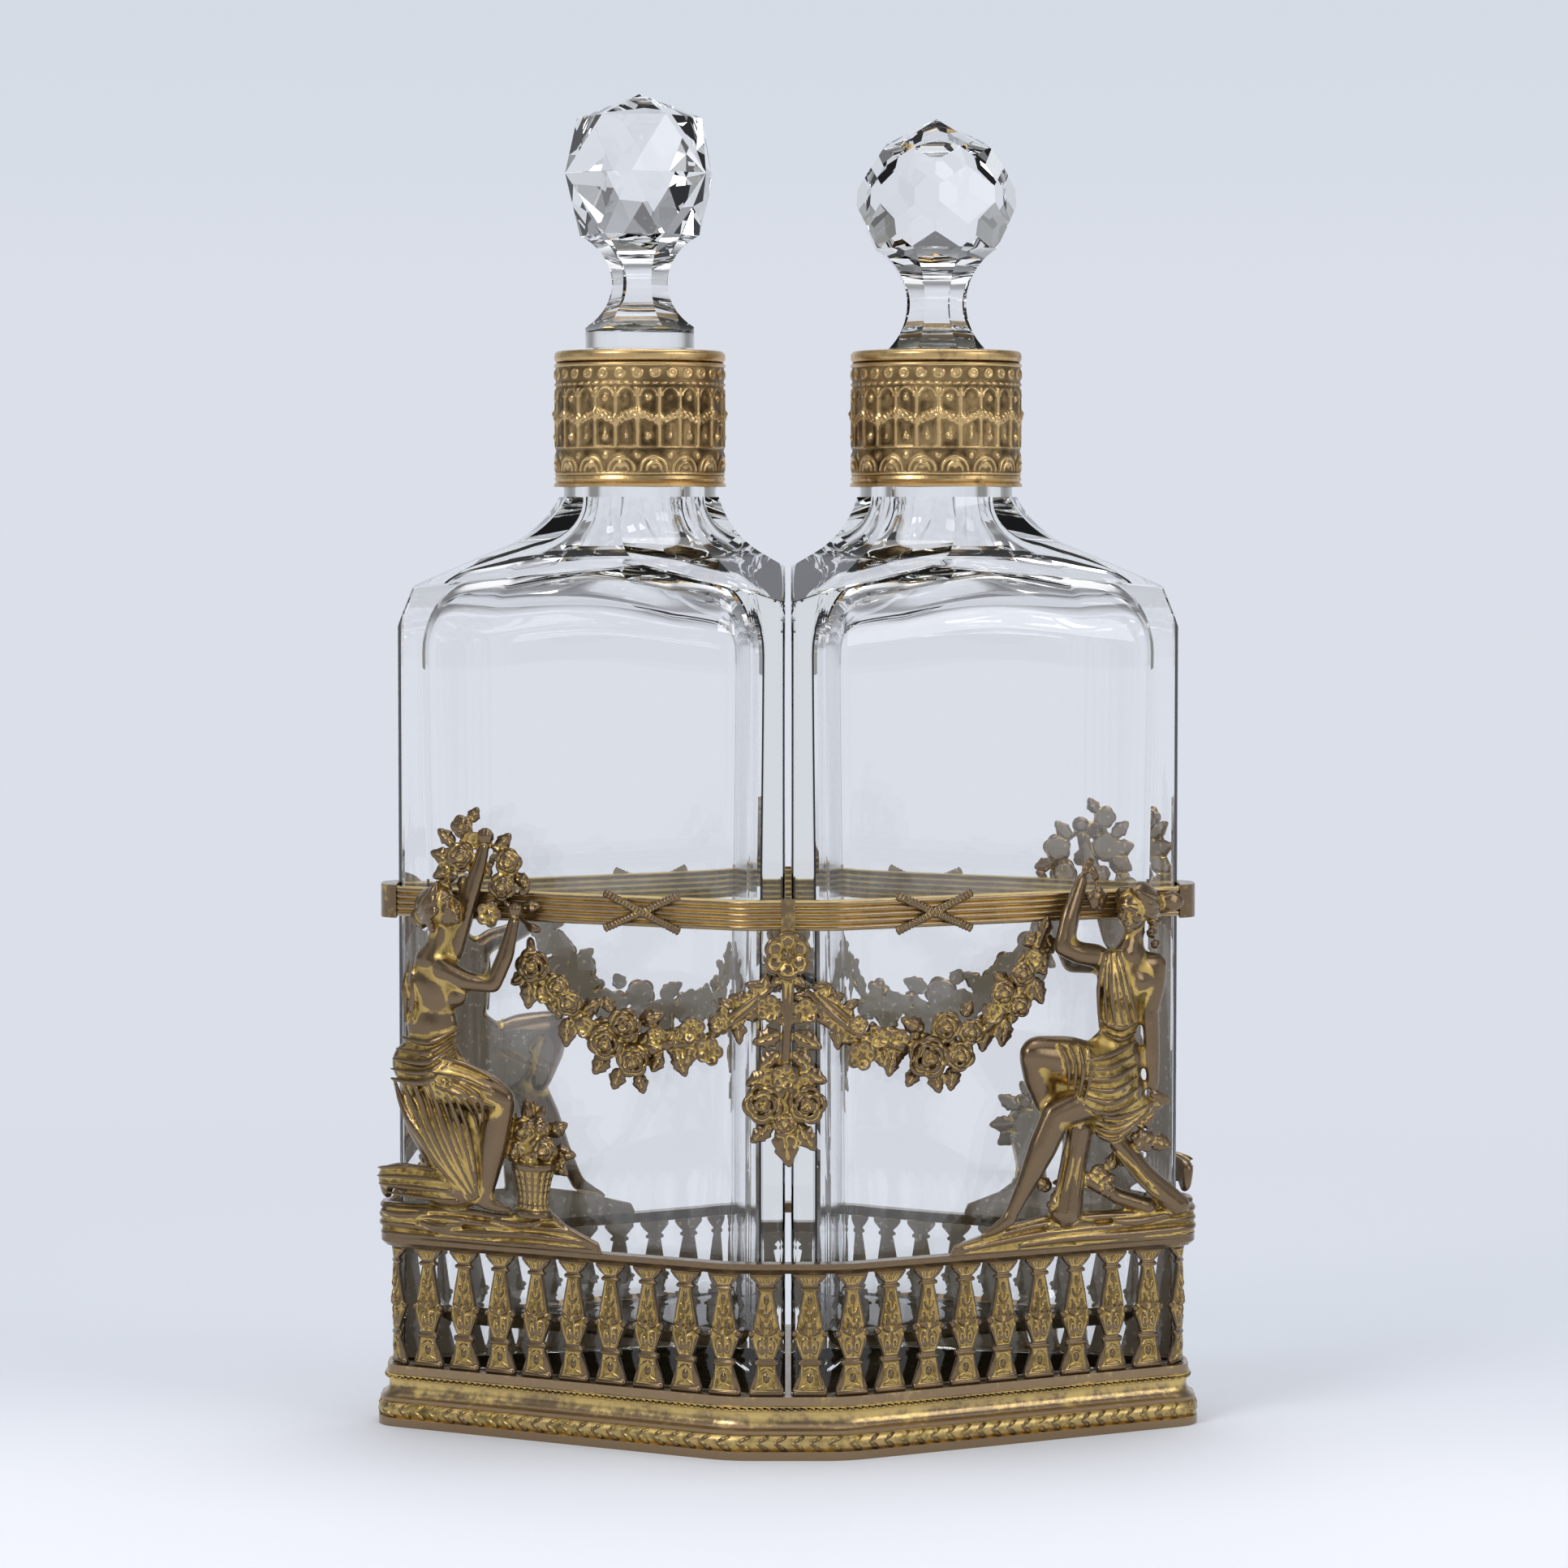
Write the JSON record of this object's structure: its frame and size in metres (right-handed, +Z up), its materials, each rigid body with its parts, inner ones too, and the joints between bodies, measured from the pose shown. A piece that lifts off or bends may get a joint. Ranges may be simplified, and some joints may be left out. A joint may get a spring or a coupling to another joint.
{
  "type": "perfume caddy",
  "caption": "Perfume caddy: gilt figural stand with a pierced gallery and reeded rail, holding cut-glass scent bottles that lift out, with ground stoppers.",
  "frame": {"origin": "middle of the underside, on the table", "axes": "+Z up; -Y to the front; +X to the right-hand bottle"},
  "size_m": [0.1448, 0.08, 0.2337],
  "materials": {
    "gilt_brass": "cast and gilt, worn to brown on the high places",
    "collar_brass": "stamped and gilt, dark in the recesses",
    "bottle_glass": "clear cut crystal, polished",
    "stopper_glass": "clear cut crystal, ground plug",
    "collar_cement": "dry plaster",
    "base_wood": "plain oiled hardwood",
    "base_felt": "green baize",
    "steel_fixings": "plain turned steel"
  },
  "bodies": {
    "stand": {"floor_plate": "gilt_brass", "left_rail_ferrule": "gilt_brass", "right_rail_ferrule": "gilt_brass", "front_base_moulding": "gilt_brass", "front_gallery_rail": "gilt_brass", "front_balusters": "gilt_brass", "front_kneeling_figure": "gilt_brass", "front_seated_figure": "gilt_brass", "front_left_garland": "gilt_brass", "front_right_garland": "gilt_brass", "front_pendant": "gilt_brass", "front_reeded_rail": "gilt_brass", "front_left_ribbon_tie": "gilt_brass", "front_right_ribbon_tie": "gilt_brass", "front_centre_clip": "gilt_brass", "rear_base_moulding": "gilt_brass", "rear_gallery_rail": "gilt_brass", "rear_balusters": "gilt_brass", "rear_kneeling_figure": "gilt_brass", "rear_seated_figure": "gilt_brass", "rear_left_garland": "gilt_brass", "rear_right_garland": "gilt_brass", "rear_pendant": "gilt_brass", "rear_reeded_rail": "gilt_brass", "rear_left_ribbon_tie": "gilt_brass", "rear_right_ribbon_tie": "gilt_brass", "rear_centre_clip": "gilt_brass", "base_board": "base_wood", "base_felt": "base_felt", "floor_studs": "steel_fixings", "floor_nuts": "steel_fixings"},
    "left_bottle_body": {"left_bottle": "bottle_glass", "left_collar_cement": "collar_cement", "left_collar": "collar_brass", "left_collar_rim": "collar_brass", "left_collar_base_ring": "collar_brass"},
    "left_stopper_body": {"left_stopper": "stopper_glass"},
    "right_bottle_body": {"right_bottle": "bottle_glass", "right_collar_cement": "collar_cement", "right_collar": "collar_brass", "right_collar_rim": "collar_brass", "right_collar_base_ring": "collar_brass"},
    "right_stopper_body": {"right_stopper": "stopper_glass"}
  },
  "joints": [
    {"name": "left_bottle_lift", "type": "slide", "parent": "stand", "child": "left_bottle_body", "axis": [0, 0, 1], "range_m": [0, 0.1]},
    {"name": "left_stopper_lift", "type": "slide", "parent": "left_bottle_body", "child": "left_stopper_body", "axis": [0, 0, 1], "range_m": [0, 0.035]},
    {"name": "right_bottle_lift", "type": "slide", "parent": "stand", "child": "right_bottle_body", "axis": [0, 0, 1], "range_m": [0, 0.1]},
    {"name": "right_stopper_lift", "type": "slide", "parent": "right_bottle_body", "child": "right_stopper_body", "axis": [0, 0, 1], "range_m": [0, 0.035]}
  ]
}
